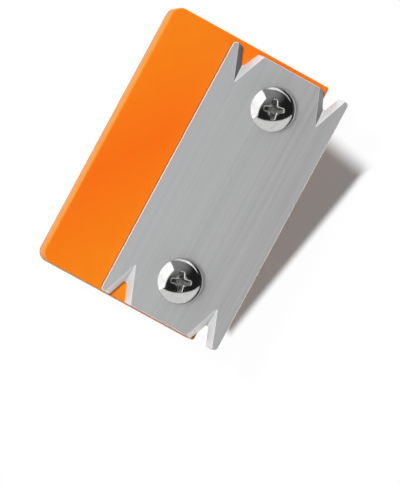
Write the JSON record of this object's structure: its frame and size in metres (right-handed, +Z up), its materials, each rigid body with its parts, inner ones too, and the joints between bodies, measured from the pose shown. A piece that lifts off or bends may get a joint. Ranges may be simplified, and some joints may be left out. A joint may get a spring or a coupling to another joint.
{
  "type": "edge trimming plane",
  "caption": "Hand-held edge trimming plane: a plastic block with a screwed-on flat steel blade whose notched corners stand out past the block's fence to trim the edge of a board.",
  "frame": {"origin": "middle of the box at the block's back face, on which the plane lies", "axes": "+X across, from the grip to the overhanging blade; +Y along the plane, to the end with the wider strip beyond the blade; +Z up out of the screw heads"},
  "size_m": [0.045, 0.0648, 0.0161],
  "materials": {
    "orange_plastic": "satin moulded plastic",
    "ground_steel": "ground lengthwise, with finer ground notch facets",
    "bright_nickel": "bright nickel plate",
    "turned_brass": "turned and knurled"
  },
  "bodies": {
    "handle": {"handle_block": "orange_plastic", "upper_insert": "turned_brass", "lower_insert": "turned_brass"},
    "blade": {"blade": "ground_steel"},
    "upper_screw": {"upper_screw": "bright_nickel"},
    "lower_screw": {"lower_screw": "bright_nickel"}
  },
  "joints": [
    {"name": "blade_lift", "type": "slide", "parent": "handle", "child": "blade", "axis": [0, 0, 1], "range_m": [0, 0.0072]},
    {"name": "upper_screw_turn", "type": "hinge", "parent": "blade", "child": "upper_screw", "pos_m": [0.0075, 0.0217, 0.0126], "axis": [0, 0, 1], "range_deg": [0, 3240.5]},
    {"name": "lower_screw_turn", "type": "hinge", "parent": "blade", "child": "lower_screw", "pos_m": [0.0075, -0.0223, 0.0126], "axis": [0, 0, 1], "range_deg": [0, 3240.5]}
  ],
  "couplings": [
    {"joint": "upper_screw_turn", "follows": "blade_lift", "rad_per_m": 7854},
    {"joint": "lower_screw_turn", "follows": "blade_lift", "rad_per_m": 7854}
  ]
}
